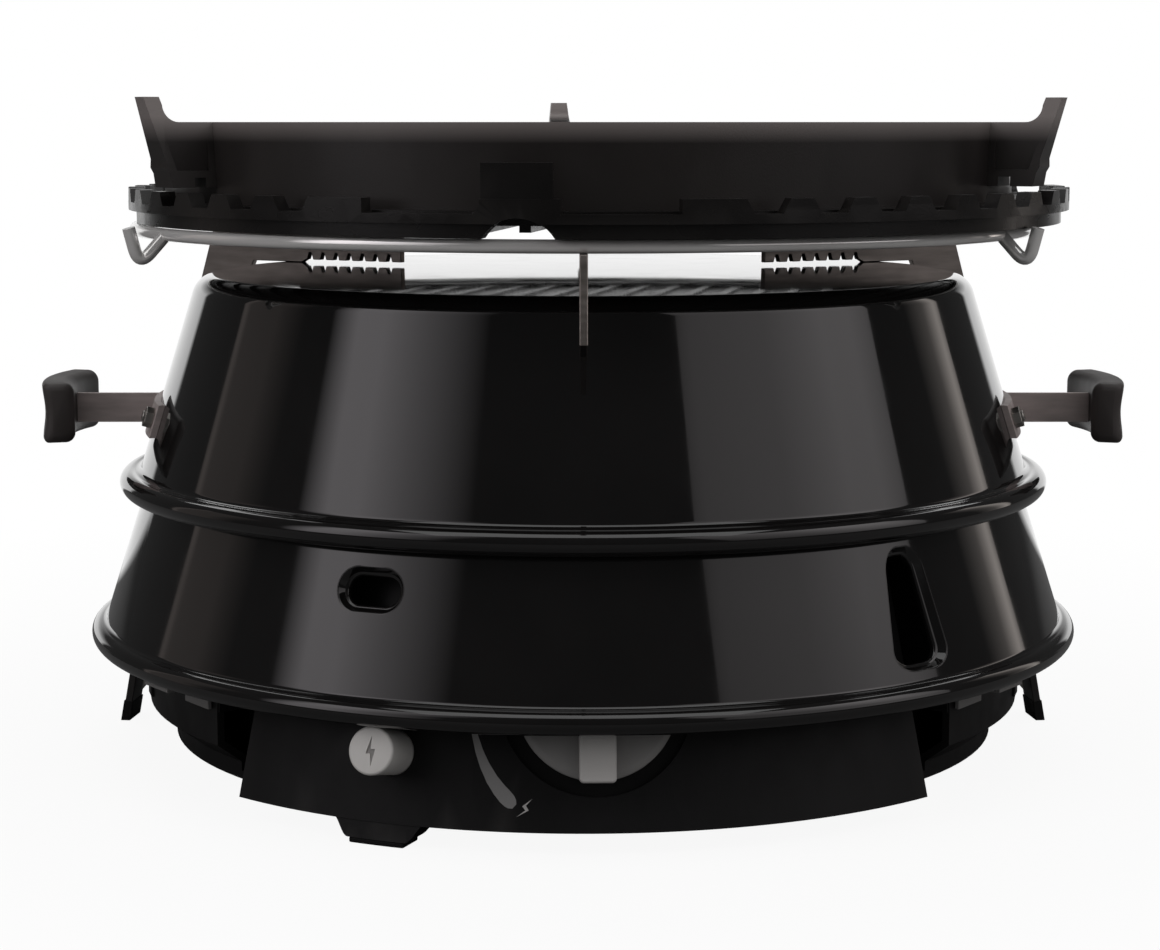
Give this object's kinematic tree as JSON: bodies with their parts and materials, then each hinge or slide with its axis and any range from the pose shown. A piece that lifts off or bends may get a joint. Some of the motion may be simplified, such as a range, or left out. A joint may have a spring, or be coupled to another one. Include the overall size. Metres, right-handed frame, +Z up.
{
  "type": "portable gas grill",
  "caption": "Portable gas grill packed for carrying: burner base with control panel and folding legs under an upturned fire bowl, wok, wire trivet, toothed griddle and lugged pan.",
  "frame": {"origin": "centre of the footprint on the table", "axes": "+Z up, -Y towards the control panel, +X to the right of someone facing the panel"},
  "size_m": [0.428, 0.39, 0.2537],
  "materials": {
    "moulded_black": "fine-grained matte black moulding",
    "panel_black": "satin black moulding",
    "rubber_foot": "matte black rubber",
    "zinc_plate": "zinc-plated steel",
    "pivot_steel": "plain steel",
    "shield_steel": "plain steel sheet",
    "burner_cast": "sand-cast aluminium",
    "burner_cap_steel": "black enamel",
    "brass_fitting": "turned brass",
    "copper_pipe": "drawn copper tube",
    "igniter_black": "black moulding",
    "electrode_ceramic": "glazed ceramic",
    "lead_sleeve": "red silicone sleeve",
    "leg_paint": "dark painted steel",
    "knob_grey": "mid and light grey moulding",
    "button_white": "off-white moulding",
    "bowl_enamel": "glossy black enamel",
    "wok_enamel": "glossy black enamel",
    "strap_steel": "plain steel strip",
    "grip_plastic": "dark brown-grey heat-proof moulding",
    "wire_chrome": "chromed wire",
    "fin_steel": "brownish grey sheet steel",
    "cast_black": "satin black coated casting"
  },
  "bodies": {
    "base": {"base_tray": "moulded_black", "base_housing": "moulded_black", "control_panel": "panel_black", "front_foot": "rubber_foot", "rim_rests": "zinc_plate", "leg_brackets": "zinc_plate", "leg_pivots": "pivot_steel", "heat_shield": "shield_steel", "burner_body": "burner_cast", "burner_cap": "burner_cap_steel", "mixing_tube": "shield_steel", "tube_bracket": "zinc_plate", "gas_valve": "brass_fitting", "gas_jet": "brass_fitting", "gas_pipe": "copper_pipe", "gas_inlet": "brass_fitting", "inlet_nut": "zinc_plate", "igniter_body": "igniter_black", "electrode": "electrode_ceramic", "electrode_pin": "pivot_steel", "ignition_lead": "lead_sleeve", "panel_screws": "zinc_plate", "tray_screws": "zinc_plate"},
    "left_leg": {"leg_left": "leg_paint", "leg_tip_left": "rubber_foot"},
    "right_leg": {"leg_right": "leg_paint", "leg_tip_right": "rubber_foot"},
    "rear_leg": {"leg_rear": "leg_paint", "leg_tip_rear": "rubber_foot"},
    "gas_knob": {"knob": "knob_grey", "valve_stem": "brass_fitting"},
    "piezo_button": {"igniter_button": "button_white", "igniter_plunger": "pivot_steel"},
    "bowl_body": {"fire_bowl": "bowl_enamel"},
    "wok_body": {"wok": "wok_enamel", "handle_strap_left": "strap_steel", "handle_strap_right": "strap_steel", "grip_left": "grip_plastic", "grip_right": "grip_plastic", "handle_bolts": "zinc_plate", "handle_nuts": "zinc_plate"},
    "trivet_body": {"trivet_wire": "wire_chrome", "fin_front": "fin_steel", "fin_left": "fin_steel", "fin_right": "fin_steel"},
    "griddle_body": {"griddle": "cast_black"},
    "pan_body": {"pan": "cast_black"}
  },
  "joints": [
    {"name": "left_leg_swivel", "type": "hinge", "parent": "base", "child": "left_leg", "pos_m": [-0.18005, 0.02211, 0.036], "axis": [-0.9759, 0.1198, 0.1822], "range_deg": [0, 90]},
    {"name": "right_leg_swivel", "type": "hinge", "parent": "base", "child": "right_leg", "pos_m": [0.18005, 0.02211, 0.036], "axis": [0.9759, 0.1198, 0.1822], "range_deg": [0, 90]},
    {"name": "rear_leg_swivel", "type": "hinge", "parent": "base", "child": "rear_leg", "pos_m": [0, 0.1814, 0.036], "axis": [0, 0.9833, 0.1822], "range_deg": [0, 90]},
    {"name": "knob_turn", "type": "hinge", "parent": "base", "child": "gas_knob", "pos_m": [0.00444, -0.16961, 0.0515], "axis": [0.0253, -0.9674, 0.2521], "range_deg": [-150, 0]},
    {"name": "button_press", "type": "slide", "parent": "base", "child": "piezo_button", "axis": [0.3625, 0.8972, -0.2521], "range_m": [0, 0.007], "stiffness_N_per_m": 900},
    {"name": "bowl_lift", "type": "slide", "parent": "base", "child": "bowl_body", "axis": [0, 0, 1], "range_m": [0, 0.14]},
    {"name": "wok_lift", "type": "slide", "parent": "bowl_body", "child": "wok_body", "axis": [0, 0, 1], "range_m": [0, 0.14]},
    {"name": "trivet_lift", "type": "slide", "parent": "wok_body", "child": "trivet_body", "axis": [0, 0, 1], "range_m": [0, 0.08]},
    {"name": "griddle_lift", "type": "slide", "parent": "trivet_body", "child": "griddle_body", "axis": [0, 0, 1], "range_m": [0, 0.08]},
    {"name": "pan_lift", "type": "slide", "parent": "griddle_body", "child": "pan_body", "axis": [0, 0, 1], "range_m": [0, 0.08]}
  ]
}
